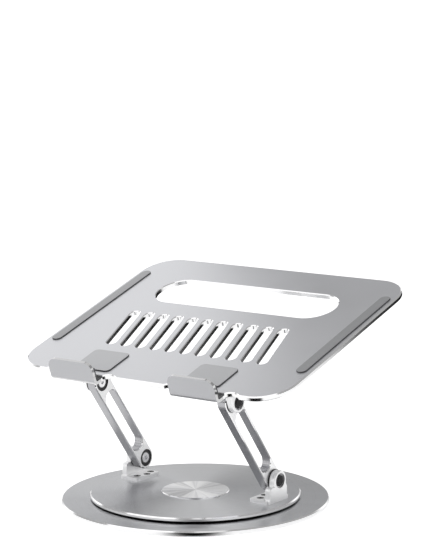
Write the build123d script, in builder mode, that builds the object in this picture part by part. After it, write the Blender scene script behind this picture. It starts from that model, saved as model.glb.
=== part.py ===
"""Swivelling laptop stand: round base, turntable, two slotted arms and a vented tray.

Units are millimetres. +Z is up, the laptop's user sits on the -Y side, the origin is the
centre of the base's underside on the table. The stand is drawn half raised with the arms
leaning forward and the tray sloping towards the user.
"""
import os
from math import cos
from math import radians
from math import sin
from build123d import *

os.makedirs("parts", exist_ok=True)

# ---- base and turntable -------------------------------------------------------------
base_radius = 100.0
base_bottom = 0.6
base_top = 4.1
turntable_radius = 78.6
turntable_bottom = 5.1
turntable_top = 7.9
edge_bevel = 0.9
grip_inner_radius = 72.0
grip_outer_radius = 94.0
grip_recess = 0.6
grip_centre_radius = 24.0
cap_radius = 25.4
cap_rim = 0.8
cap_well_radius = 20.0
cap_well_depth = 1.5
spindle_radius = 6.0
spindle_flange_radius = 14.0
spindle_flange_thickness = 1.3
spindle_bore_play = 0.05
circlip_groove_depth = 0.8
cap_headroom = 0.25
spindle_bevel = 0.15
circlip_thickness = 0.4
bearing_pitch_radius = 45.0
bearing_half_width = 7.0
race_seat_depth = 1.5
ball_radius = 1.5
ball_count = 24
ball_play = 0.06
cage_thickness = 0.4

# ---- arms and their pivots ----------------------------------------------------------
pivot_low_y = 11.5
pivot_low_z = 23.0
arm_width = 16.8
arm_thickness = 8.0
arm_inner_x = 55.6
arm_slot_width = 12.8
arm_slot_setback = 11.4
arm_bevel = 0.6
bolt_radius = 2.5
bolt_play = 0.05
bolt_head_radius = 4.1
bolt_head_height = 3.0
bolt_head_bevel = 0.4
hex_socket_radius = 1.75
hex_socket_depth = 1.8
counterbore_radius = 6.6
counterbore_depth = 4.2
collar_front_gap = 0.5
collar_floor = 1.0
collar_bevel = 0.3
collar_play = 0.06
axial_play = 0.05
washer_gap = 1.0
washer_radius = 7.9
knuckle_thickness = 4.6
knuckle_radius = 7.6
nut_pocket_radius = 5.6
nut_pocket_depth = 3.0
spring_washer_thickness = 0.6
spring_washer_radius = 4.2
spring_washer_split = 0.8
nut_radius = 4.5
nut_thickness = 1.6
bolt_tip_length = 0.3

# ---- lower brackets -----------------------------------------------------------------
foot_inner_x = 51.5
foot_front_y = -3.8
foot_back_y = 23.0
foot_thickness = 2.4
foot_corner = 2.5
shoulder_height = 12.0
knuckle_corner = 3.0
knuckle_bevel = 0.6
foot_screws = ((57.5, 2.6), (54.9, 11.4), (57.5, 19.2))
foot_screw_radius = 1.5
foot_screw_head = 2.7
foot_screw_length = 4.2
foot_screw_socket = 1.0

# ---- tray ---------------------------------------------------------------------------
tray_tilt = 17.7
tray_front_y = -66.0
tray_front_z = 102.5
tray_width = 240.0
tray_depth = 189.4
tray_thickness = 4.0
tray_corner = 26.0
tray_bevel = 0.9
hole_width = 163.0
hole_depth = 39.0
hole_setback = 137.2
hole_bevel = 0.6
vent_count = 11
vent_pitch = 13.8
vent_width = 8.2
vent_length = 55.0
vent_setback = 72.0
vent_slant = 14.5
hook_x = 54.7
hook_width = 41.0
hook_reach = 9.3
hook_sheet = 2.4
hook_bend = 4.0
hook_height = 14.2
hook_corner = 7.0
relief_radius = 8.0
relief_offset = 6.2
relief_depth = 2.6
upper_setback = 21.6
upper_drop = 19.5
plate_foot_front = 6.0
plate_foot_back = 34.0
plate_foot_thickness = 3.0
plate_screws = ((56.0, 11.0), (56.0, 29.0))
plate_screw_length = 6.0

# ---- silicone pads ------------------------------------------------------------------
pad_proud = 0.9
pad_sink = 0.4
front_pad_x = 49.4
front_pad_width = 33.0
front_pad_front = 5.6
front_pad_back = 34.4
front_pad_corner = 4.0
side_pad_x = 112.2
side_pad_width = 8.4
side_pad_front = 40.5
side_pad_back = 163.0
hook_pad_thickness = 1.5
hook_pad_margin = 0.3
hook_pad_height = 9.0

pad_roundover = 0.4

# ---- working planes -----------------------------------------------------------------
tray_across = Vector(1, 0, 0)
tray_back = Vector(0, cos(radians(tray_tilt)), sin(radians(tray_tilt)))
tray_normal = Vector(0, -sin(radians(tray_tilt)), cos(radians(tray_tilt)))
tray_origin = Vector(0, tray_front_y, tray_front_z)
tray_plane = Plane(origin=tray_origin, x_dir=tray_across, z_dir=tray_normal)
tray_section = Plane(origin=tray_origin, x_dir=tray_back, z_dir=tray_across)
pivot_low = Vector(0, pivot_low_y, pivot_low_z)
pivot_high = tray_origin + tray_back * upper_setback - tray_normal * upper_drop
arm_direction = (pivot_high - pivot_low).normalized()
arm_length = (pivot_high - pivot_low).length
arm_outer_x = arm_inner_x + arm_thickness
knuckle_inner_x = arm_outer_x + washer_gap
knuckle_outer_x = knuckle_inner_x + knuckle_thickness
nut_seat_x = knuckle_outer_x - nut_pocket_depth
collar_back_x = arm_inner_x + counterbore_depth
head_seat_x = collar_back_x - collar_floor - axial_play
head_front_x = head_seat_x - bolt_head_height


# ---- base disc: a weighted round plate with polished bevels --------------------------
with BuildPart() as base_disc:
    with BuildSketch(Plane.XY.offset(base_bottom)):
        Circle(base_radius)
    extrude(amount=base_top - base_bottom)
    chamfer(base_disc.edges().sort_by(Axis.Z)[-1], edge_bevel)
    chamfer(base_disc.edges().sort_by(Axis.Z)[0], edge_bevel / 2)
    with BuildSketch(Plane.XY.offset(base_bottom)):
        Circle(grip_outer_radius)
        Circle(grip_inner_radius, mode=Mode.SUBTRACT)
    extrude(amount=grip_recess, mode=Mode.SUBTRACT)
    with BuildSketch(Plane.XY.offset(base_top - race_seat_depth)):
        Circle(bearing_pitch_radius + bearing_half_width)
        Circle(bearing_pitch_radius - bearing_half_width, mode=Mode.SUBTRACT)
    extrude(amount=race_seat_depth, mode=Mode.SUBTRACT)
    with BuildSketch(Plane.XY.offset(base_bottom)):
        Circle(spindle_flange_radius)
    extrude(amount=spindle_flange_thickness, mode=Mode.SUBTRACT)
    with BuildSketch(Plane.XY.offset(base_bottom)):
        Circle(spindle_radius)
    extrude(amount=base_top - base_bottom, mode=Mode.SUBTRACT)
base_disc.part.label = "base_disc"
export_step(base_disc.part, "parts/base_disc.step")

# silicone ring let into the underside so that the stand grips the table, and a thin round
# silicone cover over the spindle's head
with BuildPart() as base_grip_pad:
    with BuildSketch():
        Circle(grip_outer_radius)
        Circle(grip_inner_radius, mode=Mode.SUBTRACT)
    extrude(amount=base_bottom + grip_recess)
    with BuildSketch():
        Circle(grip_centre_radius)
    extrude(amount=base_bottom)
    chamfer(base_grip_pad.edges().group_by(Axis.Z)[0], base_bottom / 2)
base_grip_pad.part.label = "base_grip_pad"
export_step(base_grip_pad.part, "parts/base_grip_pad.step")

# ---- thrust bearing hidden between the two discs -------------------------------------
ball_height = (base_top + turntable_bottom) / 2
groove_radius = ball_radius + ball_play
race_inner = bearing_pitch_radius - bearing_half_width
race_outer = bearing_pitch_radius + bearing_half_width

with BuildPart() as bearing_lower_race:
    with BuildSketch(Plane.XY.offset(base_top - race_seat_depth)):
        Circle(race_outer)
        Circle(race_inner, mode=Mode.SUBTRACT)
    extrude(amount=race_seat_depth)
    with Locations((0, 0, ball_height)):
        Torus(bearing_pitch_radius, groove_radius, mode=Mode.SUBTRACT)
bearing_lower_race.part.label = "bearing_lower_race"
export_step(bearing_lower_race.part, "parts/bearing_lower_race.step")

with BuildPart() as bearing_upper_race:
    with BuildSketch(Plane.XY.offset(turntable_bottom)):
        Circle(race_outer)
        Circle(race_inner, mode=Mode.SUBTRACT)
    extrude(amount=race_seat_depth)
    with Locations((0, 0, ball_height)):
        Torus(bearing_pitch_radius, groove_radius, mode=Mode.SUBTRACT)
bearing_upper_race.part.label = "bearing_upper_race"
export_step(bearing_upper_race.part, "parts/bearing_upper_race.step")

with BuildPart() as bearing_cage:
    with BuildSketch(Plane.XY.offset(ball_height - cage_thickness / 2)):
        Circle(bearing_pitch_radius + bearing_half_width / 2)
        Circle(bearing_pitch_radius - bearing_half_width / 2, mode=Mode.SUBTRACT)
        with PolarLocations(bearing_pitch_radius, ball_count):
            Circle(groove_radius, mode=Mode.SUBTRACT)
    extrude(amount=cage_thickness)
bearing_cage.part.label = "bearing_cage"
export_step(bearing_cage.part, "parts/bearing_cage.step")

with BuildPart() as bearing_balls:
    with Locations((0, 0, ball_height)):
        with PolarLocations(bearing_pitch_radius, ball_count):
            Sphere(ball_radius)
bearing_balls.part.label = "bearing_balls"
export_step(bearing_balls.part, "parts/bearing_balls.step")

# ---- spindle that holds the turntable down -------------------------------------------
spindle_top = turntable_top - cap_headroom
washer_seat = turntable_top - cap_well_depth
thrust_washer_thickness = 0.4
groove_bottom = washer_seat + thrust_washer_thickness + 0.05
circlip_radius = spindle_radius + 3.0

with BuildPart() as spindle:
    with BuildSketch(Plane.XY.offset(base_bottom)):
        Circle(spindle_flange_radius)
    extrude(amount=spindle_flange_thickness)
    with BuildSketch(Plane.XY.offset(base_bottom)):
        Circle(spindle_radius)
    extrude(amount=spindle_top - base_bottom)
    with BuildSketch(Plane.XY.offset(groove_bottom)):
        Circle(spindle_radius)
        Circle(spindle_radius - circlip_groove_depth, mode=Mode.SUBTRACT)
    extrude(amount=circlip_thickness, mode=Mode.SUBTRACT)
    chamfer(spindle.edges().group_by(Axis.Z)[-1], spindle_bevel)
    chamfer(spindle.edges().group_by(Axis.Z)[0], spindle_bevel)
spindle.part.label = "spindle"
export_step(spindle.part, "parts/spindle.step")

with BuildPart() as thrust_washer:
    with BuildSketch(Plane.XY.offset(washer_seat)):
        Circle(cap_well_radius - 4.0)
        Circle(spindle_radius + spindle_bore_play, mode=Mode.SUBTRACT)
    extrude(amount=thrust_washer_thickness)
thrust_washer.part.label = "thrust_washer"
export_step(thrust_washer.part, "parts/thrust_washer.step")

with BuildPart() as circlip:
    with BuildSketch(Plane.XY.offset(groove_bottom)):
        Circle(circlip_radius)
        Circle(spindle_radius - circlip_groove_depth, mode=Mode.SUBTRACT)
        with Locations((0, -circlip_radius)):
            Rectangle(6.0, 2 * circlip_radius - spindle_radius, mode=Mode.SUBTRACT)
    extrude(amount=circlip_thickness)
circlip.part.label = "circlip"
export_step(circlip.part, "parts/circlip.step")

# ---- turntable disc ------------------------------------------------------------------
foot_points = []
for px, py in foot_screws:
    foot_points.append((px, py))
    foot_points.append((-px, py))

with BuildPart() as turntable_disc:
    with BuildSketch(Plane.XY.offset(turntable_bottom)):
        Circle(turntable_radius)
    extrude(amount=turntable_top - turntable_bottom)
    chamfer(turntable_disc.edges().sort_by(Axis.Z)[-1], edge_bevel)
    chamfer(turntable_disc.edges().sort_by(Axis.Z)[0], edge_bevel / 2)
    with BuildSketch(Plane.XY.offset(turntable_bottom)):
        Circle(race_outer)
        Circle(race_inner, mode=Mode.SUBTRACT)
    extrude(amount=race_seat_depth, mode=Mode.SUBTRACT)
    with BuildSketch(Plane.XY.offset(washer_seat)):
        Circle(cap_well_radius)
    extrude(amount=cap_well_depth, mode=Mode.SUBTRACT)
    with BuildSketch(Plane.XY.offset(turntable_bottom)):
        Circle(spindle_radius + spindle_bore_play)
    extrude(amount=turntable_top - turntable_bottom, mode=Mode.SUBTRACT)
    with BuildSketch(Plane.XY.offset(turntable_top)):
        with Locations(*foot_points):
            Circle(foot_screw_radius)
    extrude(amount=foot_thickness - foot_screw_length, mode=Mode.SUBTRACT)
turntable_disc.part.label = "turntable_disc"
export_step(turntable_disc.part, "parts/turntable_disc.step")

# spun cover plate over the spindle
with BuildPart() as centre_cap:
    with BuildSketch(Plane.XY.offset(turntable_top)):
        Circle(cap_radius)
    extrude(amount=cap_rim)
    chamfer(centre_cap.edges().sort_by(Axis.Z)[-1], cap_rim / 2)
    with BuildSketch(Plane.XY.offset(turntable_top - 0.2)):
        Circle(cap_well_radius - 0.1)
        Circle(cap_well_radius - 1.4, mode=Mode.SUBTRACT)
    extrude(amount=0.4)
centre_cap.part.label = "centre_cap"
export_step(centre_cap.part, "parts/centre_cap.step")

# ---- right-hand lower bracket: foot plate with an upstanding knuckle -----------------
foot_top = turntable_top + foot_thickness
foot_middle_x = (foot_inner_x + knuckle_outer_x) / 2
foot_middle_y = (foot_front_y + foot_back_y) / 2
screw_sink = foot_screw_head - foot_screw_radius
knuckle_plane = Plane(origin=(knuckle_inner_x, 0, 0), x_dir=(0, 1, 0), z_dir=(1, 0, 0))
nut_seat_plane = Plane(origin=(nut_seat_x, 0, 0), x_dir=(0, 1, 0), z_dir=(1, 0, 0))

with BuildPart() as right_base_bracket:
    with BuildSketch(knuckle_plane) as knuckle_outline:
        with Locations((foot_middle_y, turntable_top + shoulder_height / 2)):
            Rectangle(foot_back_y - foot_front_y - 2 * foot_corner, shoulder_height)
        fillet(knuckle_outline.vertices().group_by(Axis.Y)[-1], knuckle_corner)
        with Locations((pivot_low_y, (turntable_top + pivot_low_z) / 2)):
            Rectangle(2 * knuckle_radius, pivot_low_z - turntable_top)
        with Locations((pivot_low_y, pivot_low_z)):
            Circle(knuckle_radius)
    extrude(amount=knuckle_thickness)
    chamfer(right_base_bracket.faces().sort_by(Axis.X)[-1].edges(), knuckle_bevel)
    with BuildSketch(Plane.XY.offset(turntable_top)):
        with Locations((foot_middle_x, foot_middle_y)):
            RectangleRounded(knuckle_outer_x - foot_inner_x, foot_back_y - foot_front_y, foot_corner)
    extrude(amount=foot_thickness)
    with BuildSketch(knuckle_plane):
        with Locations((pivot_low_y, pivot_low_z)):
            Circle(bolt_radius + bolt_play)
    extrude(amount=knuckle_thickness, mode=Mode.SUBTRACT)
    with BuildSketch(nut_seat_plane):
        with Locations((pivot_low_y, pivot_low_z)):
            Circle(nut_pocket_radius)
    extrude(amount=nut_pocket_depth, mode=Mode.SUBTRACT)
    with Locations(Plane.XY.offset(foot_top)):
        with Locations(*foot_screws):
            CounterSinkHole(foot_screw_radius, foot_screw_head, foot_thickness, counter_sink_angle=90)
right_base_bracket.part.label = "right_base_bracket"
export_step(right_base_bracket.part, "parts/right_base_bracket.step")

with BuildPart() as left_base_bracket:
    mirror(right_base_bracket.part, about=Plane.YZ)
left_base_bracket.part.label = "left_base_bracket"
export_step(left_base_bracket.part, "parts/left_base_bracket.step")

# countersunk screws that hold both lower brackets to the turntable
with BuildPart() as base_bracket_screws:
    with BuildSketch(Plane.XY.offset(foot_top)):
        with Locations(*foot_points):
            Circle(foot_screw_head)
    extrude(amount=-screw_sink, taper=45)
    with BuildSketch(Plane.XY.offset(foot_top)):
        with Locations(*foot_points):
            Circle(foot_screw_radius)
    extrude(amount=-foot_screw_length)
    with BuildSketch(Plane.XY.offset(foot_top)):
        with Locations(*foot_points):
            RegularPolygon(foot_screw_socket, 6)
    extrude(amount=-foot_screw_socket, mode=Mode.SUBTRACT)
base_bracket_screws.part.label = "base_bracket_screws"
export_step(base_bracket_screws.part, "parts/base_bracket_screws.step")

# ---- arms: slotted flat links with a counterbored eye at each end --------------------
arm_inner_plane = Plane(origin=pivot_low + Vector(arm_inner_x, 0, 0), x_dir=arm_direction, z_dir=(1, 0, 0))
counterbore_wall_plane = arm_inner_plane.offset(collar_back_x - arm_inner_x)
collar_front_plane = arm_inner_plane.offset(collar_front_gap)
eye_points = ((0, 0), (arm_length, 0))

with BuildPart() as right_arm:
    with BuildSketch(arm_inner_plane):
        with Locations((arm_length / 2, 0)):
            SlotCenterToCenter(arm_length, arm_width)
            SlotOverall(arm_length - 2 * arm_slot_setback, arm_slot_width, mode=Mode.SUBTRACT)
    extrude(amount=arm_thickness)
    chamfer(right_arm.faces().sort_by(Axis.X)[-1].edges(), arm_bevel)
    chamfer(right_arm.faces().sort_by(Axis.X)[0].edges(), arm_bevel)
    with BuildSketch(arm_inner_plane):
        with Locations(*eye_points):
            Circle(bolt_radius + bolt_play)
    extrude(amount=arm_thickness, mode=Mode.SUBTRACT)
    with BuildSketch(arm_inner_plane):
        with Locations(*eye_points):
            Circle(counterbore_radius)
    extrude(amount=counterbore_depth, mode=Mode.SUBTRACT)
right_arm.part.label = "right_arm"
export_step(right_arm.part, "parts/right_arm.step")

with BuildPart() as left_arm:
    mirror(right_arm.part, about=Plane.YZ)
left_arm.part.label = "left_arm"
export_step(left_arm.part, "parts/left_arm.step")

# black bearing collars pressed into the counterbores
with BuildPart() as right_arm_collars:
    with BuildSketch(collar_front_plane):
        with Locations(*eye_points):
            Circle(counterbore_radius)
            Circle(bolt_head_radius + collar_play, mode=Mode.SUBTRACT)
    extrude(amount=counterbore_depth - collar_front_gap)
    chamfer(right_arm_collars.edges().group_by(Axis.X)[0], collar_bevel)
    with BuildSketch(counterbore_wall_plane):
        with Locations(*eye_points):
            Circle(counterbore_radius)
            Circle(bolt_radius + bolt_play, mode=Mode.SUBTRACT)
    extrude(amount=-collar_floor)
right_arm_collars.part.label = "right_arm_collars"
export_step(right_arm_collars.part, "parts/right_arm_collars.step")

with BuildPart() as left_arm_collars:
    mirror(right_arm_collars.part, about=Plane.YZ)
left_arm_collars.part.label = "left_arm_collars"
export_step(left_arm_collars.part, "parts/left_arm_collars.step")

# ---- pivot hardware, drawn on the right and mirrored to the left ---------------------
spring_start_x = nut_seat_x + axial_play
nut_start_x = spring_start_x + spring_washer_thickness
bolt_end_x = nut_start_x + nut_thickness + bolt_tip_length

with BuildPart() as right_lower_bolt:
    with BuildSketch(Plane(origin=(head_front_x, pivot_low.Y, pivot_low.Z), z_dir=(1, 0, 0))):
        Circle(bolt_head_radius)
    extrude(amount=bolt_head_height)
    chamfer(right_lower_bolt.edges().group_by(Axis.X)[0], bolt_head_bevel)
    with BuildSketch(Plane(origin=(head_seat_x, pivot_low.Y, pivot_low.Z), z_dir=(1, 0, 0))):
        Circle(bolt_radius)
    extrude(amount=bolt_end_x - head_seat_x)
    chamfer(right_lower_bolt.edges().group_by(Axis.X)[-1], bolt_tip_length)
    with BuildSketch(Plane(origin=(head_front_x, pivot_low.Y, pivot_low.Z), z_dir=(1, 0, 0))):
        RegularPolygon(hex_socket_radius, 6)
    extrude(amount=hex_socket_depth, mode=Mode.SUBTRACT)

with BuildPart() as lower_bolts:
    add(right_lower_bolt.part)
    mirror(about=Plane.YZ)
lower_bolts.part.label = "lower_bolts"
export_step(lower_bolts.part, "parts/lower_bolts.step")

with BuildPart() as lower_friction_washers:
    with BuildSketch(Plane(origin=(arm_outer_x + axial_play, pivot_low.Y, pivot_low.Z), z_dir=(1, 0, 0))):
        Circle(washer_radius)
        Circle(bolt_radius, mode=Mode.SUBTRACT)
    extrude(amount=washer_gap - axial_play)
    mirror(about=Plane.YZ)
lower_friction_washers.part.label = "lower_friction_washers"
export_step(lower_friction_washers.part, "parts/lower_friction_washers.step")

with BuildPart() as right_lower_spring_washer:
    with BuildSketch(Plane(origin=(spring_start_x, pivot_low.Y, pivot_low.Z), z_dir=(1, 0, 0))):
        Circle(spring_washer_radius)
        Circle(bolt_radius, mode=Mode.SUBTRACT)
    extrude(amount=spring_washer_thickness)
    with BuildSketch(Plane(origin=(spring_start_x, pivot_low.Y, pivot_low.Z), z_dir=(1, 0, 0))):
        with Locations((spring_washer_radius, 0)):
            Rectangle(spring_washer_radius, spring_washer_split)
    extrude(amount=spring_washer_thickness, mode=Mode.SUBTRACT)

with BuildPart() as lower_spring_washers:
    add(right_lower_spring_washer.part)
    mirror(about=Plane.YZ)
lower_spring_washers.part.label = "lower_spring_washers"
export_step(lower_spring_washers.part, "parts/lower_spring_washers.step")

with BuildPart() as right_lower_nut:
    with BuildSketch(Plane(origin=(nut_start_x, pivot_low.Y, pivot_low.Z), z_dir=(1, 0, 0))):
        RegularPolygon(nut_radius, 6)
        Circle(bolt_radius, mode=Mode.SUBTRACT)
    extrude(amount=nut_thickness)

with BuildPart() as lower_nuts:
    add(right_lower_nut.part)
    mirror(about=Plane.YZ)
lower_nuts.part.label = "lower_nuts"
export_step(lower_nuts.part, "parts/lower_nuts.step")

# the upper pivots carry the same hardware, moved along the arm
pivot_step = pivot_high - pivot_low

with BuildPart() as right_upper_bolt:
    with Locations(pivot_step):
        add(right_lower_bolt.part)
right_upper_bolt.part.label = "right_upper_bolt"
export_step(right_upper_bolt.part, "parts/right_upper_bolt.step")

with BuildPart() as left_upper_bolt:
    mirror(right_upper_bolt.part, about=Plane.YZ)
left_upper_bolt.part.label = "left_upper_bolt"
export_step(left_upper_bolt.part, "parts/left_upper_bolt.step")

with BuildPart() as right_upper_friction_washer:
    with BuildSketch(Plane(origin=(arm_outer_x + axial_play, pivot_high.Y, pivot_high.Z), z_dir=(1, 0, 0))):
        Circle(washer_radius)
        Circle(bolt_radius, mode=Mode.SUBTRACT)
    extrude(amount=washer_gap - 2 * axial_play)
right_upper_friction_washer.part.label = "right_upper_friction_washer"
export_step(right_upper_friction_washer.part, "parts/right_upper_friction_washer.step")

with BuildPart() as left_upper_friction_washer:
    mirror(right_upper_friction_washer.part, about=Plane.YZ)
left_upper_friction_washer.part.label = "left_upper_friction_washer"
export_step(left_upper_friction_washer.part, "parts/left_upper_friction_washer.step")

with BuildPart() as right_upper_spring_washer:
    with Locations(pivot_step):
        add(right_lower_spring_washer.part)
right_upper_spring_washer.part.label = "right_upper_spring_washer"
export_step(right_upper_spring_washer.part, "parts/right_upper_spring_washer.step")

with BuildPart() as left_upper_spring_washer:
    mirror(right_upper_spring_washer.part, about=Plane.YZ)
left_upper_spring_washer.part.label = "left_upper_spring_washer"
export_step(left_upper_spring_washer.part, "parts/left_upper_spring_washer.step")

with BuildPart() as right_upper_nut:
    with Locations(pivot_step):
        add(right_lower_nut.part)
right_upper_nut.part.label = "right_upper_nut"
export_step(right_upper_nut.part, "parts/right_upper_nut.step")

with BuildPart() as left_upper_nut:
    mirror(right_upper_nut.part, about=Plane.YZ)
left_upper_nut.part.label = "left_upper_nut"
export_step(left_upper_nut.part, "parts/left_upper_nut.step")

# ---- tray brackets: plate feet under the tray with a hanging knuckle -----------------
bracket_top = -tray_thickness
bracket_bottom = bracket_top - plate_foot_thickness
plate_foot_middle = (plate_foot_front + plate_foot_back) / 2
upper_knuckle_plane = tray_section.offset(knuckle_inner_x)
upper_nut_seat_plane = tray_section.offset(nut_seat_x)

with BuildPart() as right_tray_bracket:
    with BuildSketch(upper_knuckle_plane):
        with Locations((upper_setback, (bracket_top - upper_drop) / 2)):
            Rectangle(2 * knuckle_radius, upper_drop + bracket_top)
        with Locations((upper_setback, -upper_drop)):
            Circle(knuckle_radius)
    extrude(amount=knuckle_thickness)
    chamfer(right_tray_bracket.faces().sort_by(Axis.X)[-1].edges(), knuckle_bevel)
    with BuildSketch(tray_plane.offset(bracket_bottom)):
        with Locations((foot_middle_x, plate_foot_middle)):
            RectangleRounded(knuckle_outer_x - foot_inner_x, plate_foot_back - plate_foot_front, foot_corner)
    extrude(amount=plate_foot_thickness)
    with BuildSketch(upper_knuckle_plane):
        with Locations((upper_setback, -upper_drop)):
            Circle(bolt_radius + bolt_play)
    extrude(amount=knuckle_thickness, mode=Mode.SUBTRACT)
    with BuildSketch(upper_nut_seat_plane):
        with Locations((upper_setback, -upper_drop)):
            Circle(nut_pocket_radius)
    extrude(amount=nut_pocket_depth, mode=Mode.SUBTRACT)
    with BuildSketch(tray_plane.offset(bracket_top)):
        with Locations(*plate_screws):
            Circle(foot_screw_radius)
    extrude(amount=tray_thickness - pad_sink - plate_screw_length, mode=Mode.SUBTRACT)
right_tray_bracket.part.label = "right_tray_bracket"
export_step(right_tray_bracket.part, "parts/right_tray_bracket.step")

with BuildPart() as left_tray_bracket:
    mirror(right_tray_bracket.part, about=Plane.YZ)
left_tray_bracket.part.label = "left_tray_bracket"
export_step(left_tray_bracket.part, "parts/left_tray_bracket.step")

# countersunk screws under the front pads, down through the tray into the brackets
plate_points = []
for px, py in plate_screws:
    plate_points.append((px, py))
    plate_points.append((-px, py))

with BuildPart() as tray_bracket_screws:
    with BuildSketch(tray_plane.offset(-pad_sink)):
        with Locations(*plate_points):
            Circle(foot_screw_head)
    extrude(amount=-screw_sink, taper=45)
    with BuildSketch(tray_plane.offset(-pad_sink)):
        with Locations(*plate_points):
            Circle(foot_screw_radius)
    extrude(amount=-plate_screw_length)
    with BuildSketch(tray_plane.offset(-pad_sink)):
        with Locations(*plate_points):
            RegularPolygon(foot_screw_socket, 6)
    extrude(amount=-foot_screw_socket, mode=Mode.SUBTRACT)
tray_bracket_screws.part.label = "tray_bracket_screws"
export_step(tray_bracket_screws.part, "parts/tray_bracket_screws.step")

# ---- one front hook: the sheet runs forward from the tray and turns up ---------------
hook_low = -tray_thickness
lip_start = hook_low + hook_bend
lip_plane = Plane(origin=tray_origin - tray_back * (hook_reach - hook_sheet), x_dir=tray_across, z_dir=-tray_back)

with BuildPart() as hook_blank:
    with BuildSketch(lip_plane) as lip_outline:
        with Locations((0, (hook_height + lip_start) / 2)):
            Rectangle(hook_width, hook_height - lip_start)
        fillet(lip_outline.vertices().group_by(Axis.Y)[-1], hook_corner)
    extrude(amount=hook_sheet)
    with BuildSketch(tray_section.offset(-hook_width / 2)):
        with BuildLine():
            Polyline((hook_sheet, hook_low + hook_sheet), (hook_sheet, hook_low), (hook_bend - hook_reach, hook_low))
            RadiusArc((hook_bend - hook_reach, hook_low), (-hook_reach, lip_start), hook_bend)
            Polyline((-hook_reach, lip_start), (hook_sheet - hook_reach, lip_start))
            RadiusArc((hook_sheet - hook_reach, lip_start), (hook_bend - hook_reach, hook_low + hook_sheet),
                      hook_sheet - hook_bend)
            Line((hook_bend - hook_reach, hook_low + hook_sheet), (hook_sheet, hook_low + hook_sheet))
        make_face()
    extrude(amount=hook_width)

# ---- tray: bevelled plate with slanted vents, a wide rear opening and two hooks ------
relief_points = []
for px in (hook_x, -hook_x):
    relief_points.append((px - hook_width / 2 - relief_offset, relief_depth - relief_radius))
    relief_points.append((px + hook_width / 2 + relief_offset, relief_depth - relief_radius))
side_pad_length = side_pad_back - side_pad_front
side_pad_middle = (side_pad_back + side_pad_front) / 2
front_pad_length = front_pad_back - front_pad_front
front_pad_middle = (front_pad_back + front_pad_front) / 2
front_pad_points = ((-front_pad_x, front_pad_middle), (front_pad_x, front_pad_middle))
side_pad_points = ((-side_pad_x, side_pad_middle), (side_pad_x, side_pad_middle))

with BuildPart() as tray_plate:
    with BuildSketch(tray_plane.offset(-tray_thickness)):
        with Locations((0, tray_depth / 2)):
            RectangleRounded(tray_width, tray_depth, tray_corner)
        with Locations(*relief_points):
            Circle(relief_radius, mode=Mode.SUBTRACT)
    extrude(amount=tray_thickness)
    chamfer(tray_plate.faces().sort_by(Axis((0, 0, 0), tray_normal))[-1].edges(), tray_bevel)
    chamfer(tray_plate.faces().sort_by(Axis((0, 0, 0), tray_normal))[0].edges(), tray_bevel)
    with BuildSketch(tray_plane.offset(-tray_thickness)):
        with Locations((0, hole_setback)):
            SlotOverall(hole_width, hole_depth)
        with Locations((0, vent_setback)):
            with GridLocations(vent_pitch, 0, vent_count, 1):
                SlotOverall(vent_length, vent_width, rotation=90 + vent_slant)
    extrude(amount=tray_thickness, mode=Mode.SUBTRACT)
    chamfer(tray_plate.faces().sort_by(Axis((0, 0, 0), tray_normal))[-1].inner_wires().edges(), hole_bevel)
    chamfer(tray_plate.faces().sort_by(Axis((0, 0, 0), tray_normal))[0].inner_wires().edges(), hole_bevel)
    with BuildSketch(tray_plane.offset(-pad_sink)):
        with Locations(*front_pad_points):
            RectangleRounded(front_pad_width, front_pad_length, front_pad_corner)
        with Locations(*side_pad_points):
            SlotOverall(side_pad_length, side_pad_width, rotation=90)
    extrude(amount=pad_sink, mode=Mode.SUBTRACT)
    with Locations(tray_plane.offset(-pad_sink)):
        with Locations(*plate_points):
            CounterSinkHole(foot_screw_radius, foot_screw_head, tray_thickness - pad_sink, counter_sink_angle=90)
    with Locations((hook_x, 0, 0), (-hook_x, 0, 0)):
        add(hook_blank.part)
tray_plate.part.label = "tray_plate"
export_step(tray_plate.part, "parts/tray_plate.step")

# ---- silicone pads -------------------------------------------------------------------
with BuildPart() as right_front_pad:
    with BuildSketch(tray_plane.offset(-pad_sink)):
        with Locations(front_pad_points[1]):
            RectangleRounded(front_pad_width, front_pad_length, front_pad_corner)
    extrude(amount=pad_sink + pad_proud)
    fillet(right_front_pad.faces().sort_by(Axis((0, 0, 0), tray_normal))[-1].edges(), pad_roundover)
right_front_pad.part.label = "right_front_pad"
export_step(right_front_pad.part, "parts/right_front_pad.step")

with BuildPart() as left_front_pad:
    mirror(right_front_pad.part, about=Plane.YZ)
left_front_pad.part.label = "left_front_pad"
export_step(left_front_pad.part, "parts/left_front_pad.step")

with BuildPart() as right_side_pad:
    with BuildSketch(tray_plane.offset(-pad_sink)):
        with Locations(side_pad_points[1]):
            SlotOverall(side_pad_length, side_pad_width, rotation=90)
    extrude(amount=pad_sink + pad_proud)
    fillet(right_side_pad.faces().sort_by(Axis((0, 0, 0), tray_normal))[-1].edges(), pad_roundover)
right_side_pad.part.label = "right_side_pad"
export_step(right_side_pad.part, "parts/right_side_pad.step")

with BuildPart() as left_side_pad:
    mirror(right_side_pad.part, about=Plane.YZ)
left_side_pad.part.label = "left_side_pad"
export_step(left_side_pad.part, "parts/left_side_pad.step")

# L-shaped liner inside each hook
liner_back = -hook_pad_margin
liner_front = hook_sheet - hook_reach
liner_floor = hook_low + hook_sheet
liner_step = liner_floor + hook_pad_thickness
liner_relief = hook_bend - hook_sheet + 0.1

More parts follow.
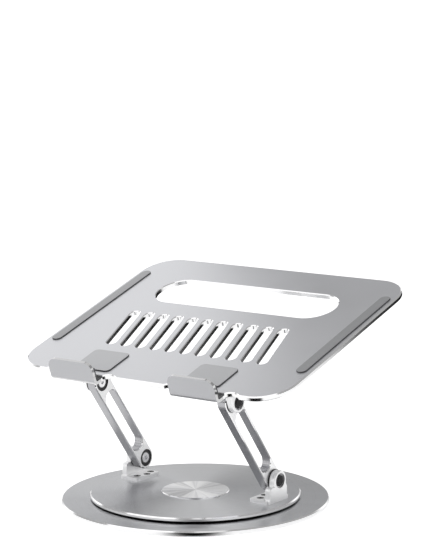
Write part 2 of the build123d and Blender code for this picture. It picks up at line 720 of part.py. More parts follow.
with BuildPart() as right_hook_pad:
    with BuildSketch(tray_section.offset(hook_x - hook_width / 2 + hook_pad_margin)):
        with BuildLine():
            Polyline(
                (liner_back, liner_floor),
                (liner_back, liner_step),
                (liner_front + 2 * hook_pad_thickness, liner_step),
                (liner_front + hook_pad_thickness, liner_step + hook_pad_thickness),
                (liner_front + hook_pad_thickness, hook_pad_height),
                (liner_front, hook_pad_height),
                (liner_front, liner_floor + liner_relief),
                (liner_front + liner_relief, liner_floor),
                close=True,
            )
        make_face()
    extrude(amount=hook_width - 2 * hook_pad_margin)
right_hook_pad.part.label = "right_hook_pad"
export_step(right_hook_pad.part, "parts/right_hook_pad.step")

with BuildPart() as left_hook_pad:
    mirror(right_hook_pad.part, about=Plane.YZ)
left_hook_pad.part.label = "left_hook_pad"
export_step(left_hook_pad.part, "parts/left_hook_pad.step")
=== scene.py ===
"""Looks of a swivelling aluminium laptop stand, laid out as a Blender add-on.

Everything is in metres in the stand's own frame: +X to the user's right, +Y away from the
user, +Z up, origin at the centre of the base's underside.
"""
import math

import bpy
from bpy.props import FloatProperty, FloatVectorProperty, PointerProperty
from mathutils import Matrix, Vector

bl_info = {
    "name": "Laptop Stand Looks",
    "version": (1, 0, 0),
    "blender": (4, 5, 0),
    "location": "3D View > Sidebar > Laptop Stand",
    "description": "Finishes and stage for a swivelling aluminium laptop stand",
    "category": "Object",
}

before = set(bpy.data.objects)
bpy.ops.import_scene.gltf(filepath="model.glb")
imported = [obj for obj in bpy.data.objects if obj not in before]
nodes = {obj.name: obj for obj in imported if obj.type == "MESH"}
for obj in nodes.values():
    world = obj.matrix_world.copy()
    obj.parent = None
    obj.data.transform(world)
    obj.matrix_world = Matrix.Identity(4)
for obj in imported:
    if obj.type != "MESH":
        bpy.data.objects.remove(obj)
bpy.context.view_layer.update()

UP = (0.0, 0.0, 1.0)
ACROSS = (1.0, 0.0, 0.0)

# The tray as it stands at rest: its slope, its directions and the middle of its front edge.
TRAY_TILT = math.radians(17.7)
TRAY_NORMAL = (0.0, -math.sin(TRAY_TILT), math.cos(TRAY_TILT))
TRAY_BACK = (0.0, math.cos(TRAY_TILT), math.sin(TRAY_TILT))
TRAY_FRONT = (0.0, -0.066, 0.1025)

# The hooks' lips lie in front of this distance back from the front edge; their darker colour is painted
# shade.
LIP_START = -0.0015
LIP_PAINTED_SHADE = 0.66

# The bolts' outer ends sit in recesses; beyond this distance from the middle they get painted shade.
RECESS_SHADE_START = 0.0645
RECESS_SHADE_COLOUR = (0.02, 0.02, 0.021)

# How squarely a face looks along its direction (1 is square on) before it counts as a broad face. An
# arm's narrow faces look across the stand by less than NARROW_FACE_LIMIT, and its bevels lie between.
FACE_LIMIT = 0.96
PAD_FACE_LIMIT = 0.9
NARROW_FACE_LIMIT = 0.25

# Strengths of the grain and of the turned lines in colour and in roughness, and of the painted highlight
# fans.
CLOUD_TINT = 0.05
SPECKLE_TINT = 0.05
CLOUD_ROUGHNESS = 0.12
LINE_TINT = 0.16
LINE_ROUGHNESS = 0.2
FAN_HIGHLIGHT_GAIN = 4.0

ARM_BEVEL_ROUGHNESS = 0.1
TURNED_EDGE_ROUGHNESS = 0.08
TURNED_ANISOTROPY = 0.9
BRACKET_METALLIC = 0.8
PAD_METALLIC = 0.6
CAP_COLOUR = (0.93, 0.93, 0.94)

# Places and sizes of the camera, the lights and the floor.
CAMERA_PLACE = (0.94676, -1.25500, 0.41746)
CAMERA_TURN = (81.2467, 0.4353, 36.3852)
CAMERA_LENS = 145.07
SENSOR_WIDTH = 36.0
CAMERA_REACH = 50.0
STAND_MIDDLE = (0, 0, 0.08)
AREA_LIGHTS = (
    # name, place, aimed at, width and height, setting that holds its power
    ("overhead", (0.0, 0.2, 1.5), STAND_MIDDLE, (1.3, 1.3), "key_power"),
    ("left_softbox", (-0.38, 0.14, 0.34), (-0.08, -0.04, 0.11), (0.42, 0.36), "side_power"),
    ("front_softbox", (-0.2, -1.1, 1.4), STAND_MIDDLE, (2.6, 1.2), "front_power"),
)
FLOOR_HALF = 12.0
FLOOR_ROUGHNESS = 0.9

# The floor glows by these strengths, to reflections and bounced light and to the camera.
FLOOR_GLOW = 0.42
FLOOR_GLOW_SEEN = 0.72

# Reflections see a lit floor that ends between these distances, with dark spots in front of the base:
# a centre, and the distances from it where a spot starts and stops fading.
LIT_FLOOR_START = 0.64
LIT_FLOOR_END = 0.82
DARK_SPOTS = (((0.084, -0.165, 0.0), 0.04, 0.07), ((0.073, -0.099, 0.0), 0.015, 0.04))

# Reflections see a room with a dark side, a dimmer gap opposite and a lit wall up to WALL_TOP. Each pair
# holds the limits of a soft change, as the cosine of an angle from the direction that it goes with.
DARK_SIDE = (0.586, -0.797, -0.1)
DARK_SIDE_EDGE = (0.84, 0.96)
DARK_SIDE_LIGHT = 0.02
GAP_SIDE = (-0.592, 0.806, 0.0)
GAP_EDGE = (0.8, 0.95)
WALL_TOP = (0.3, 0.46)
ROOM_SEEN = 1.3


# ---- shader helpers ----------------------------------------------------------------
def new_group(name, inputs, outputs):
    """An empty shader node group with the named sockets, and its two end nodes."""
    group = bpy.data.node_groups.new(name, "ShaderNodeTree")
    for label, kind, value in inputs:
        socket = group.interface.new_socket(label, in_out="INPUT", socket_type=kind)
        if value is not None:
            socket.default_value = value
    for label, kind in outputs:
        group.interface.new_socket(label, in_out="OUTPUT", socket_type=kind)
    start = group.nodes.new("NodeGroupInput")
    start.location = (-900, 0)
    end = group.nodes.new("NodeGroupOutput")
    end.location = (700, 0)
    return group, start, end


def math_node(tree, operation, first, second=None, third=None):
    """A Math node whose inputs are sockets or plain numbers."""
    node = tree.nodes.new("ShaderNodeMath")
    node.operation = operation
    for index, value in enumerate((first, second, third)):
        if value is None:
            continue
        if isinstance(value, (int, float)):
            node.inputs[index].default_value = value
        else:
            tree.links.new(value, node.inputs[index])
    return node.outputs[0]


def vector_node(tree, operation, first, second=None):
    """A Vector Math node whose inputs are sockets or plain triples."""
    node = tree.nodes.new("ShaderNodeVectorMath")
    node.operation = operation
    for index, value in enumerate((first, second)):
        if value is None:
            continue
        if isinstance(value, (tuple, list)):
            node.inputs[index].default_value = value
        else:
            tree.links.new(value, node.inputs[index])
    return node


def mix_number(tree, factor, low, high):
    """low where factor is 0, high where it is 1."""
    node = tree.nodes.new("ShaderNodeMix")
    node.data_type = "FLOAT"
    for socket, value in ((node.inputs[0], factor), (node.inputs[2], low), (node.inputs[3], high)):
        if isinstance(value, (int, float)):
            socket.default_value = value
        else:
            tree.links.new(value, socket)
    return node.outputs[0]


def smooth_step(tree, value, start, end):
    """0 below start, 1 above end and a smooth ramp between."""
    node = tree.nodes.new("ShaderNodeMapRange")
    node.interpolation_type = "SMOOTHSTEP"
    tree.links.new(value, node.inputs["Value"])
    node.inputs["From Min"].default_value = start
    node.inputs["From Max"].default_value = end
    return node.outputs["Result"]


def mix_colour(tree, factor, low, high, blend="MIX"):
    """Two colours blended by factor."""
    node = tree.nodes.new("ShaderNodeMix")
    node.data_type = "RGBA"
    node.blend_type = blend
    for socket, value in ((node.inputs[0], factor), (node.inputs[6], low), (node.inputs[7], high)):
        if isinstance(value, (int, float)):
            socket.default_value = value
        elif isinstance(value, (tuple, list)):
            socket.default_value = (*value[:3], 1.0)
        else:
            tree.links.new(value, socket)
    return node.outputs[2]


def bevel_mask_group():
    """1 on bevels and edge walls, 0 on the broad faces that look along Flat Direction."""
    group, start, end = new_group(
        "Polished Edge Mask",
        [("Flat Direction", "NodeSocketVector", UP), ("Threshold", "NodeSocketFloat", FACE_LIMIT)],
        [("Mask", "NodeSocketFloat")],
    )
    place = group.nodes.new("ShaderNodeTexCoord")
    facing = vector_node(group, "DOT_PRODUCT", place.outputs["Normal"], start.outputs["Flat Direction"])
    level = math_node(group, "ABSOLUTE", facing.outputs["Value"])
    mask = math_node(group, "LESS_THAN", level, start.outputs["Threshold"])
    group.links.new(mask, end.inputs["Mask"])
    return group


def blast_grain_group():
    """The fine speckle of bead-blasted, anodised aluminium: a height and a small tint."""
    group, start, end = new_group(
        "Blasted Grain",
        [("Grain Size", "NodeSocketFloat", 2600.0), ("Cloud Size", "NodeSocketFloat", 18.0)],
        [("Height", "NodeSocketFloat"), ("Tint", "NodeSocketFloat"), ("Roughness Shift", "NodeSocketFloat")],
    )
    place = group.nodes.new("ShaderNodeTexCoord")
    grain = group.nodes.new("ShaderNodeTexNoise")
    grain.inputs["Detail"].default_value = 2.0
    group.links.new(place.outputs["Object"], grain.inputs["Vector"])
    group.links.new(start.outputs["Grain Size"], grain.inputs["Scale"])
    cloud = group.nodes.new("ShaderNodeTexNoise")
    cloud.inputs["Detail"].default_value = 3.0
    group.links.new(place.outputs["Object"], cloud.inputs["Vector"])
    group.links.new(start.outputs["Cloud Size"], cloud.inputs["Scale"])
    centred = math_node(group, "SUBTRACT", cloud.outputs["Fac"], 0.5)
    speckle = math_node(group, "SUBTRACT", grain.outputs["Fac"], 0.5)
    tint = math_node(group, "MULTIPLY_ADD", centred, CLOUD_TINT, 1.0)
    tint = math_node(group, "MULTIPLY_ADD", speckle, SPECKLE_TINT, tint)
    shift = math_node(group, "MULTIPLY", centred, CLOUD_ROUGHNESS)
    group.links.new(grain.outputs["Fac"], end.inputs["Height"])
    group.links.new(tint, end.inputs["Tint"])
    group.links.new(shift, end.inputs["Roughness Shift"])
    return group


def turned_lines_group():
    """Fine concentric tool lines of a turned disc, and fans: painted highlights, a tint that changes around
    its middle.
    """
    group, start, end = new_group(
        "Turned Lines",
        [("Line Density", "NodeSocketFloat", 4200.0), ("Fan Strength", "NodeSocketFloat", 0.1),
         ("Fan Scale", "NodeSocketFloat", 2.2)],
        [("Height", "NodeSocketFloat"), ("Tint", "NodeSocketFloat"), ("Roughness Shift", "NodeSocketFloat")],
    )
    place = group.nodes.new("ShaderNodeTexCoord")
    flat = vector_node(group, "MULTIPLY", place.outputs["Object"], (1.0, 1.0, 0.0)).outputs["Vector"]
    radius = vector_node(group, "LENGTH", flat).outputs["Value"]
    lines = group.nodes.new("ShaderNodeTexNoise")
    lines.noise_dimensions = "1D"
    lines.inputs["Detail"].default_value = 2.0
    group.links.new(radius, lines.inputs["W"])
    group.links.new(start.outputs["Line Density"], lines.inputs["Scale"])
    around = vector_node(group, "NORMALIZE", flat).outputs["Vector"]
    fans = group.nodes.new("ShaderNodeTexNoise")
    fans.inputs["Detail"].default_value = 4.0
    fans.inputs["Roughness"].default_value = 0.65
    group.links.new(around, fans.inputs["Vector"])
    group.links.new(start.outputs["Fan Scale"], fans.inputs["Scale"])
    line_level = math_node(group, "SUBTRACT", lines.outputs["Fac"], 0.5)
    # Painted highlights: fan-shaped lighter and darker sectors of the colour around the middle.
    fan_level = math_node(group, "SUBTRACT", fans.outputs["Fac"], 0.5)
    fan_level = math_node(group, "MULTIPLY", fan_level, FAN_HIGHLIGHT_GAIN)
    tint = math_node(group, "MULTIPLY_ADD", line_level, LINE_TINT, 1.0)
    tint = math_node(group, "MULTIPLY_ADD", fan_level, start.outputs["Fan Strength"], tint)
    shift = math_node(group, "MULTIPLY", line_level, LINE_ROUGHNESS)
    group.links.new(lines.outputs["Fac"], end.inputs["Height"])
    group.links.new(tint, end.inputs["Tint"])
    group.links.new(shift, end.inputs["Roughness Shift"])
    return group


def groups():
    """The shared node groups, built once."""
    made = {}
    for name, build in (
        ("Polished Edge Mask", bevel_mask_group),
        ("Blasted Grain", blast_grain_group),
        ("Turned Lines", turned_lines_group),
    ):
        made[name] = bpy.data.node_groups.get(name) or build()
    return made


def new_material(name):
    """A material with only an output and a Principled BSDF."""
    material = bpy.data.materials.new(name)
    material.use_nodes = True
    tree = material.node_tree
    tree.nodes.clear()
    out = tree.nodes.new("ShaderNodeOutputMaterial")
    out.location = (500, 0)
    shader = tree.nodes.new("ShaderNodeBsdfPrincipled")
    shader.location = (200, 0)
    tree.links.new(shader.outputs["BSDF"], out.inputs["Surface"])
    return material, tree, shader


def place_group(tree, name, **values):
    """A node group placed in a material, with its inputs set by name."""
    node = tree.nodes.new("ShaderNodeGroup")
    node.node_tree = groups()[name]
    for label, value in values.items():
        node.inputs[label.replace("_", " ")].default_value = value
    return node


def place_bump(tree, shader, height, strength, distance):
    """A Bump node between a height and the shader's normal."""
    bump = tree.nodes.new("ShaderNodeBump")
    bump.inputs["Strength"].default_value = strength
    bump.inputs["Distance"].default_value = distance
    tree.links.new(height, bump.inputs["Height"])
    tree.links.new(bump.outputs["Normal"], shader.inputs["Normal"])


def anodised_material(name, colour, polished, flat, roughness, edge_roughness=0.14):
    """Blasted, anodised aluminium with bright polished bevels and walls."""
    material, tree, shader = new_material(name)
    edge = place_group(tree, "Polished Edge Mask", Flat_Direction=flat, Threshold=FACE_LIMIT)
    grain = place_group(tree, "Blasted Grain")
    tinted = mix_colour(tree, 1.0, colour, grain.outputs["Tint"], blend="MULTIPLY")
    tree.links.new(mix_colour(tree, edge.outputs["Mask"], tinted, polished), shader.inputs["Base Color"])
    satin = math_node(tree, "ADD", grain.outputs["Roughness Shift"], roughness)
    tree.links.new(mix_number(tree, edge.outputs["Mask"], satin, edge_roughness), shader.inputs["Roughness"])
    shader.inputs["Metallic"].default_value = 1.0
    flat_edge = math_node(tree, "SUBTRACT", 1.0, edge.outputs["Mask"])
    height = math_node(tree, "MULTIPLY", grain.outputs["Height"], flat_edge)
    place_bump(tree, shader, height, strength=0.05, distance=0.0001)
    return material, tree, edge


def tray_material(colour, polished, roughness):
    """The tray's aluminium: satin on the plate's and the lips' faces, with painted shade on the lips."""
    material, tree, edge = anodised_material("tray_aluminium", colour, polished, TRAY_NORMAL, roughness)
    shader = tree.nodes["Principled BSDF"]
    place = tree.nodes.new("ShaderNodeTexCoord")
    offset = vector_node(tree, "SUBTRACT", place.outputs["Object"], TRAY_FRONT).outputs["Vector"]
    back = vector_node(tree, "DOT_PRODUCT", offset, TRAY_BACK).outputs["Value"]
    in_lip = math_node(tree, "LESS_THAN", back, LIP_START)
    plate_colour = shader.inputs["Base Color"].links[0].from_socket
    # Painted shade: the lips' colour is darkened to stand in for the dimmer light they reflect.
    shade = mix_number(tree, in_lip, 1.0, LIP_PAINTED_SHADE)
    shaded = mix_colour(tree, 1.0, plate_colour, shade, blend="MULTIPLY")
    tree.links.new(shaded, shader.inputs["Base Color"])
    choose = tree.nodes.new("ShaderNodeMix")
    choose.data_type = "VECTOR"
    tree.links.new(in_lip, choose.inputs[0])
    choose.inputs[4].default_value = TRAY_NORMAL
    choose.inputs[5].default_value = TRAY_BACK
    tree.links.new(choose.outputs[1], edge.inputs["Flat Direction"])
    return material


def arm_material(side_colour, shaded_strip_colour, polished, side_roughness, strip_roughness):
    """The arms: pale blasted sides, polished bevels and brushed narrow faces, darkened as painted shade."""
    material, tree, shader = new_material("arm_aluminium")
    off_side = place_group(tree, "Polished Edge Mask", Flat_Direction=ACROSS, Threshold=FACE_LIMIT)
    strip = place_group(tree, "Polished Edge Mask", Flat_Direction=ACROSS, Threshold=NARROW_FACE_LIMIT)
    grain = place_group(tree, "Blasted Grain")
    side = mix_colour(tree, 1.0, side_colour, grain.outputs["Tint"], blend="MULTIPLY")
    # Painted shade: the narrow faces take the darker colour.
    narrow = mix_colour(tree, 1.0, shaded_strip_colour, grain.outputs["Tint"], blend="MULTIPLY")
    colour = mix_colour(tree, off_side.outputs["Mask"], side, polished)
    tree.links.new(mix_colour(tree, strip.outputs["Mask"], colour, narrow), shader.inputs["Base Color"])
    rough = mix_number(tree, off_side.outputs["Mask"], side_roughness, ARM_BEVEL_ROUGHNESS)
    rough = mix_number(tree, strip.outputs["Mask"], rough, strip_roughness)
    rough = math_node(tree, "ADD", rough, grain.outputs["Roughness Shift"])
    tree.links.new(rough, shader.inputs["Roughness"])
    shader.inputs["Metallic"].default_value = 1.0
    place_bump(tree, shader, grain.outputs["Height"], strength=0.04, distance=0.0001)
    return material


def turned_material(name, colour, polished, roughness, painted_fan_strength, fan_scale=2.2, density=4200.0):
    """Aluminium turned on a lathe: concentric lines, highlights spread across them, and painted highlight
    fans.
    """
    material, tree, shader = new_material(name)
    edge = place_group(tree, "Polished Edge Mask", Flat_Direction=UP, Threshold=FACE_LIMIT)
    lines = place_group(
        tree, "Turned Lines", Line_Density=density, Fan_Strength=painted_fan_strength, Fan_Scale=fan_scale
    )
    tinted = mix_colour(tree, 1.0, colour, lines.outputs["Tint"], blend="MULTIPLY")
    tree.links.new(mix_colour(tree, edge.outputs["Mask"], tinted, polished), shader.inputs["Base Color"])
    satin = math_node(tree, "ADD", lines.outputs["Roughness Shift"], roughness)
    rough = mix_number(tree, edge.outputs["Mask"], satin, TURNED_EDGE_ROUGHNESS)
    tree.links.new(rough, shader.inputs["Roughness"])
    shader.inputs["Metallic"].default_value = 1.0
    shader.inputs["Anisotropic"].default_value = TURNED_ANISOTROPY
    tangent = tree.nodes.new("ShaderNodeTangent")
    tangent.direction_type = "RADIAL"
    tangent.axis = "Z"
    tree.links.new(tangent.outputs["Tangent"], shader.inputs["Tangent"])
    flat_edge = math_node(tree, "SUBTRACT", 1.0, edge.outputs["Mask"])
    height = math_node(tree, "MULTIPLY", lines.outputs["Height"], flat_edge)
    place_bump(tree, shader, height, strength=0.12, distance=0.00005)
    return material


def silicone_material(name, colour, wall, flat, roughness, metallic=0.0):
    """Moulded silicone rubber, its cut walls darkened as painted shade; metallic gives its skin a soft
    shine.
    """
    material, tree, shader = new_material(name)
    cut = place_group(tree, "Polished Edge Mask", Flat_Direction=flat, Threshold=PAD_FACE_LIMIT)
    grain = place_group(tree, "Blasted Grain", Grain_Size=1500.0, Cloud_Size=40.0)
    skin = mix_colour(tree, 1.0, colour, grain.outputs["Tint"], blend="MULTIPLY")
    # Painted shade on the cut walls.
    tree.links.new(mix_colour(tree, cut.outputs["Mask"], skin, wall), shader.inputs["Base Color"])
    matte = math_node(tree, "ADD", grain.outputs["Roughness Shift"], roughness)
    tree.links.new(matte, shader.inputs["Roughness"])
    shader.inputs["Metallic"].default_value = metallic
    place_bump(tree, shader, grain.outputs["Height"], strength=0.15, distance=0.0002)
    return material


def plated_material(name, colour, roughness, metallic=1.0, dark_beyond=None):
    """Small machined or moulded pieces; further from the middle than dark_beyond, painted shade darkens
    them.
    """
    material, tree, shader = new_material(name)
    grain = place_group(tree, "Blasted Grain", Grain_Size=3200.0, Cloud_Size=160.0)
    tone = mix_colour(tree, 1.0, colour, grain.outputs["Tint"], blend="MULTIPLY")
    if dark_beyond is not None:
        place = tree.nodes.new("ShaderNodeTexCoord")
        across = vector_node(tree, "DOT_PRODUCT", place.outputs["Object"], ACROSS).outputs["Value"]
        # Painted shade: the ends out in the recesses take a near-black colour.
        recess_shade = math_node(tree, "GREATER_THAN", math_node(tree, "ABSOLUTE", across), dark_beyond)
        tone = mix_colour(tree, recess_shade, tone, RECESS_SHADE_COLOUR)
    tree.links.new(tone, shader.inputs["Base Color"])
    matte = math_node(tree, "ADD", grain.outputs["Roughness Shift"], roughness)
    tree.links.new(matte, shader.inputs["Roughness"])
    shader.inputs["Metallic"].default_value = metallic
    return material


def dress(names, material):
    """Gives CAD nodes one material."""
    for name in names:
        mesh = nodes[name].data
        mesh.materials.clear()
        mesh.materials.append(material)


# ---- settings a user would change --------------------------------------------------
class StandFinish(bpy.types.PropertyGroup):
    """Colours and finishes of the stand."""

    aluminium: FloatVectorProperty(
        name="Aluminium", description="Colour of the blasted aluminium", subtype="COLOR",
        size=3, min=0.0, max=1.0, default=(0.74, 0.745, 0.77),
    )
    disc: FloatVectorProperty(
        name="Turned discs", description="Colour of the two round discs", subtype="COLOR",
        size=3, min=0.0, max=1.0, default=(0.60, 0.605, 0.62),
    )
    pale: FloatVectorProperty(
        name="Pale aluminium", description="Colour of the arms' sides and of the brackets", subtype="COLOR",
        size=3, min=0.0, max=1.0, default=(0.96, 0.96, 0.965),
    )
    # The arms' narrow faces are brushed; their darker colour is painted shade for the dim reflections on
    # them.
    strip: FloatVectorProperty(
        name="Arm strips", description="Colour of the arms' narrow faces", subtype="COLOR",
        size=3, min=0.0, max=1.0, default=(0.46, 0.46, 0.475),
    )
    polished: FloatVectorProperty(
        name="Polished edges", description="Colour of the bevels and edge walls", subtype="COLOR",
        size=3, min=0.0, max=1.0, default=(0.97, 0.97, 0.975),
    )
    silicone: FloatVectorProperty(
        name="Silicone", description="Colour of the grip pads", subtype="COLOR",
        size=3, min=0.0, max=1.0, default=(0.58, 0.585, 0.60),
    )
    # Painted shade: the side strips are the pads' silicone, coloured darker for the dimmer light on them.
    shaded_side_silicone: FloatVectorProperty(
        name="Side strips", description="Colour of the long grip strips", subtype="COLOR",
        size=3, min=0.0, max=1.0, default=(0.42, 0.425, 0.435),
    )
    # Painted shade: the pads' cut walls are the same silicone, coloured near black for the shade on them.
    silicone_wall_shade: FloatVectorProperty(
        name="Silicone walls", description="Colour of the pads' cut walls", subtype="COLOR",
        size=3, min=0.0, max=1.0, default=(0.09, 0.09, 0.095),
    )
    liner: FloatVectorProperty(
        name="Hook liner", description="Colour of the rubber inside the hooks", subtype="COLOR",
        size=3, min=0.0, max=1.0, default=(0.03, 0.03, 0.032),
    )
    satin: FloatProperty(
        name="Satin roughness", description="Roughness of the blasted faces",
        min=0.05, max=1.0, default=0.36, subtype="FACTOR",
    )


class StandStage(bpy.types.PropertyGroup):
    """Floor, light and camera."""

    floor_tone: FloatProperty(
        name="Floor tone", description="Brightness of the pale floor",
        min=0.0, max=1.0, default=0.9, subtype="FACTOR",
    )
    room_light: FloatProperty(
        name="Room light", description="Brightness of the room around the stage", min=0.0, default=0.39,
    )
    key_power: FloatProperty(
        name="Overhead light", description="Power of the large overhead light",
        min=0.0, default=2.0, unit="POWER",
    )
    horizon_light: FloatProperty(
        name="Horizon light", description="Brightness of the lit wall low around the stage",
        min=0.0, default=1.15,
    )
    gap_light: FloatProperty(
        name="Gap light", description="Brightness of the dimmer gap in the lit wall, behind the stand",
        min=0.0, default=0.68,
    )
    front_power: FloatProperty(
        name="Front light", description="Power of the wide soft light in front, above the camera",
        min=0.0, default=7.5, unit="POWER",
    )
    side_power: FloatProperty(
        name="Side light", description="Power of the soft light behind the tray's left corner",
        min=0.0, default=0.26, unit="POWER",
    )
    lens: FloatProperty(
        name="Lens", description="Focal length of the camera",
        min=20.0, default=CAMERA_LENS, unit="CAMERA",
    )


class STAND_OT_metal(bpy.types.Operator):
    """Finish the discs, brackets, arms and tray."""

    bl_idname = "laptop_stand.metal"
    bl_label = "Finish Aluminium"

    def execute(self, context):
        look = context.scene.stand_finish
        colour, polished, pale = tuple(look.aluminium), tuple(look.polished), tuple(look.pale)
        # Faint painted highlight fans on the discs.
        disc = turned_material(
            "disc_aluminium", tuple(look.disc), polished, roughness=0.32, painted_fan_strength=0.06
        )
        dress(["base_disc", "turntable_disc"], disc)
        dress(["tray_plate"], tray_material(colour, polished, look.satin))
        arm = arm_material(pale, tuple(look.strip), polished, side_roughness=0.4, strip_roughness=0.24)
        dress(["left_arm", "right_arm"], arm)
        bracket, tree, _ = anodised_material(
            "bracket_aluminium", pale, polished, ACROSS, roughness=0.3, edge_roughness=0.34
        )
        tree.nodes["Principled BSDF"].inputs["Metallic"].default_value = BRACKET_METALLIC
        dress(
            ["left_base_bracket", "right_base_bracket", "left_tray_bracket", "right_tray_bracket"],
            bracket,
        )
        # Strong painted highlight fans on the spun cap.
        cap = turned_material(
            "spun_cap", CAP_COLOUR, polished, roughness=0.34, painted_fan_strength=0.45, fan_scale=2.6,
            density=5200.0,
        )
        dress(["centre_cap"], cap)
        return {"FINISHED"}


class STAND_OT_pads(bpy.types.Operator):
    """Finish the silicone pads and the hook liners."""

    bl_idname = "laptop_stand.pads"
    bl_label = "Finish Pads"

    def execute(self, context):
        look = context.scene.stand_finish
        wall = tuple(look.silicone_wall_shade)
        grey = silicone_material(
            "grey_silicone", tuple(look.silicone), wall, TRAY_NORMAL, roughness=0.4, metallic=PAD_METALLIC
        )
        dress(["left_front_pad", "right_front_pad"], grey)
        # The side strips' darker colour is painted shade.
        strip = silicone_material(
            "dark_grey_silicone", tuple(look.shaded_side_silicone), wall, TRAY_NORMAL, roughness=0.4,
            metallic=PAD_METALLIC,
        )
        dress(["left_side_pad", "right_side_pad"], strip)
        black = silicone_material("black_silicone", tuple(look.liner), wall, UP, roughness=0.6)
        dress(["left_hook_pad", "right_hook_pad", "base_grip_pad"], black)
        return {"FINISHED"}


class STAND_OT_hardware(bpy.types.Operator):
    """Finish bolts, nuts, washers, collars, screws and the bearing."""

    bl_idname = "laptop_stand.hardware"
    bl_label = "Finish Hardware"

    def execute(self, context):
        bright = plated_material("bright_plating", (0.85, 0.85, 0.86), roughness=0.22)
        # Bright plating, with painted shade on the bolts' ends where they sit in recesses.
        bolt = plated_material("bolt_plating", (0.9, 0.9, 0.91), roughness=0.2, dark_beyond=RECESS_SHADE_START)
        nylon = plated_material("black_nylon", (0.012, 0.012, 0.013), roughness=0.45, metallic=0.0)
        oxide = plated_material("black_oxide", (0.03, 0.03, 0.032), roughness=0.35)
        steel = plated_material("bearing_steel", (0.6, 0.6, 0.62), roughness=0.2)
        brass = plated_material("cage_brass", (0.75, 0.55, 0.25), roughness=0.35)
        dress(["spindle", "circlip"], bright)
        dress(["lower_bolts", "left_upper_bolt", "right_upper_bolt"], bolt)
        dress(
            ["left_arm_collars", "right_arm_collars", "lower_friction_washers", "left_upper_friction_washer",
             "right_upper_friction_washer", "thrust_washer"],
            nylon,
        )
        dress(
            ["lower_nuts", "left_upper_nut", "right_upper_nut", "lower_spring_washers",
             "left_upper_spring_washer", "right_upper_spring_washer", "base_bracket_screws",
             "tray_bracket_screws"],
            oxide,
        )
        dress(["bearing_lower_race", "bearing_upper_race", "bearing_balls"], steel)
        dress(["bearing_cage"], brass)
        return {"FINISHED"}


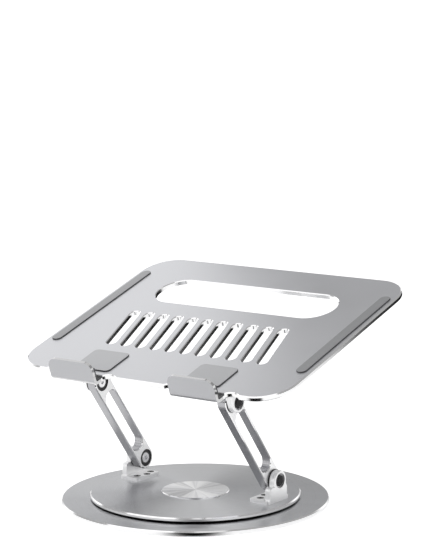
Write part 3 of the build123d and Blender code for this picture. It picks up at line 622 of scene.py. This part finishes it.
class STAND_OT_stage(bpy.types.Operator):
    """Add the floor, the soft lights and the camera."""

    bl_idname = "laptop_stand.stage"
    bl_label = "Set Stage"

    def execute(self, context):
        look = context.scene.stand_stage
        scene = context.scene
        self.floor(look)
        self.room(look)
        for name, place, target, size, setting in AREA_LIGHTS:
            self.area_light(name, place, target, size, getattr(look, setting))
        camera_data = bpy.data.cameras.new("camera")
        camera_data.lens = look.lens
        camera_data.sensor_width = SENSOR_WIDTH
        camera_data.clip_end = CAMERA_REACH
        camera = bpy.data.objects.new("camera", camera_data)
        camera.location = CAMERA_PLACE
        camera.rotation_euler = [math.radians(a) for a in CAMERA_TURN]
        scene.collection.objects.link(camera)
        scene.camera = camera
        scene.view_settings.view_transform = "Standard"
        return {"FINISHED"}

    def floor(self, look):
        """A wide floor, white to the camera, that is lit only near the stand in reflections."""
        mesh = bpy.data.meshes.new("floor")
        corners = [(-FLOOR_HALF, -FLOOR_HALF, 0), (FLOOR_HALF, -FLOOR_HALF, 0),
                   (FLOOR_HALF, FLOOR_HALF, 0), (-FLOOR_HALF, FLOOR_HALF, 0)]
        mesh.from_pydata(corners, [], [(0, 1, 2, 3)])
        floor = bpy.data.objects.new("floor", mesh)
        bpy.context.scene.collection.objects.link(floor)
        material, tree, shader = new_material("floor_white")
        tone = (look.floor_tone, look.floor_tone, look.floor_tone)
        place = tree.nodes.new("ShaderNodeTexCoord")
        reach = vector_node(tree, "LENGTH", place.outputs["Object"]).outputs["Value"]
        lit = math_node(tree, "SUBTRACT", 1.0, smooth_step(tree, reach, LIT_FLOOR_START, LIT_FLOOR_END))
        for centre, inner, outer in DARK_SPOTS:
            away = vector_node(tree, "DISTANCE", place.outputs["Object"], centre).outputs["Value"]
            lit = math_node(tree, "MULTIPLY", lit, smooth_step(tree, away, inner, outer))
        path = tree.nodes.new("ShaderNodeLightPath")
        mirrored = mix_number(tree, path.outputs["Is Glossy Ray"], 1.0, lit)
        tree.links.new(mix_colour(tree, mirrored, (0.0, 0.0, 0.0), tone), shader.inputs["Base Color"])
        shader.inputs["Roughness"].default_value = FLOOR_ROUGHNESS
        shader.inputs["Specular IOR Level"].default_value = 0.0
        shader.inputs["Emission Color"].default_value = (1.0, 1.0, 1.0, 1.0)
        unseen = math_node(tree, "MULTIPLY", lit, FLOOR_GLOW)
        glow = mix_number(tree, path.outputs["Is Camera Ray"], unseen, FLOOR_GLOW_SEEN)
        tree.links.new(glow, shader.inputs["Emission Strength"])
        mesh.materials.append(material)

    def room(self, look):
        """White to the camera; to the metal, a lit wall with a dimmer gap, and dark behind the camera."""
        world = bpy.data.worlds.new("studio")
        world.use_nodes = True
        tree = world.node_tree
        background = tree.nodes["Background"]
        place = tree.nodes.new("ShaderNodeTexCoord")
        view = place.outputs["Generated"]
        toward = vector_node(tree, "DOT_PRODUCT", view, DARK_SIDE).outputs["Value"]
        height = vector_node(tree, "DOT_PRODUCT", view, UP).outputs["Value"]
        away = vector_node(tree, "DOT_PRODUCT", view, GAP_SIDE).outputs["Value"]
        low = mix_number(tree, smooth_step(tree, away, *GAP_EDGE), look.horizon_light, look.gap_light)
        room = mix_number(tree, smooth_step(tree, height, *WALL_TOP), low, look.room_light)
        room = mix_number(tree, smooth_step(tree, toward, *DARK_SIDE_EDGE), room, DARK_SIDE_LIGHT)
        path = tree.nodes.new("ShaderNodeLightPath")
        seen = mix_number(tree, path.outputs["Is Camera Ray"], room, ROOM_SEEN)
        background.inputs["Color"].default_value = (1.0, 1.0, 1.0, 1.0)
        tree.links.new(seen, background.inputs["Strength"])
        bpy.context.scene.world = world

    def area_light(self, name, place, target, size, power):
        """A soft rectangular light aimed at a point."""
        data = bpy.data.lights.new(name, "AREA")
        data.shape = "RECTANGLE"
        data.size, data.size_y = size
        data.energy = power
        light = bpy.data.objects.new(name, data)
        light.location = place
        light.rotation_euler = (Vector(place) - Vector(target)).to_track_quat("Z", "Y").to_euler()
        light.visible_camera = False
        bpy.context.scene.collection.objects.link(light)


class STAND_PT_panel(bpy.types.Panel):
    """Settings and steps for the laptop stand."""

    bl_idname = "STAND_PT_panel"
    bl_label = "Laptop Stand"
    bl_space_type = "VIEW_3D"
    bl_region_type = "UI"
    bl_category = "Laptop Stand"

    def draw(self, context):
        for settings in (context.scene.stand_finish, context.scene.stand_stage):
            for name in settings.bl_rna.properties.keys():
                if name not in ("rna_type", "name"):
                    self.layout.prop(settings, name)
        for operator in STEPS:
            self.layout.operator(operator.bl_idname)


STEPS = (STAND_OT_metal, STAND_OT_pads, STAND_OT_hardware, STAND_OT_stage)
CLASSES = (StandFinish, StandStage, *STEPS, STAND_PT_panel)


def register():
    for cls in CLASSES:
        bpy.utils.register_class(cls)
    bpy.types.Scene.stand_finish = PointerProperty(type=StandFinish)
    bpy.types.Scene.stand_stage = PointerProperty(type=StandStage)


def unregister():
    del bpy.types.Scene.stand_finish
    del bpy.types.Scene.stand_stage
    for cls in reversed(CLASSES):
        bpy.utils.unregister_class(cls)


def main():
    register()
    bpy.ops.laptop_stand.metal()
    bpy.ops.laptop_stand.pads()
    bpy.ops.laptop_stand.hardware()
    bpy.ops.laptop_stand.stage()


if __name__ == "__main__":
    main()
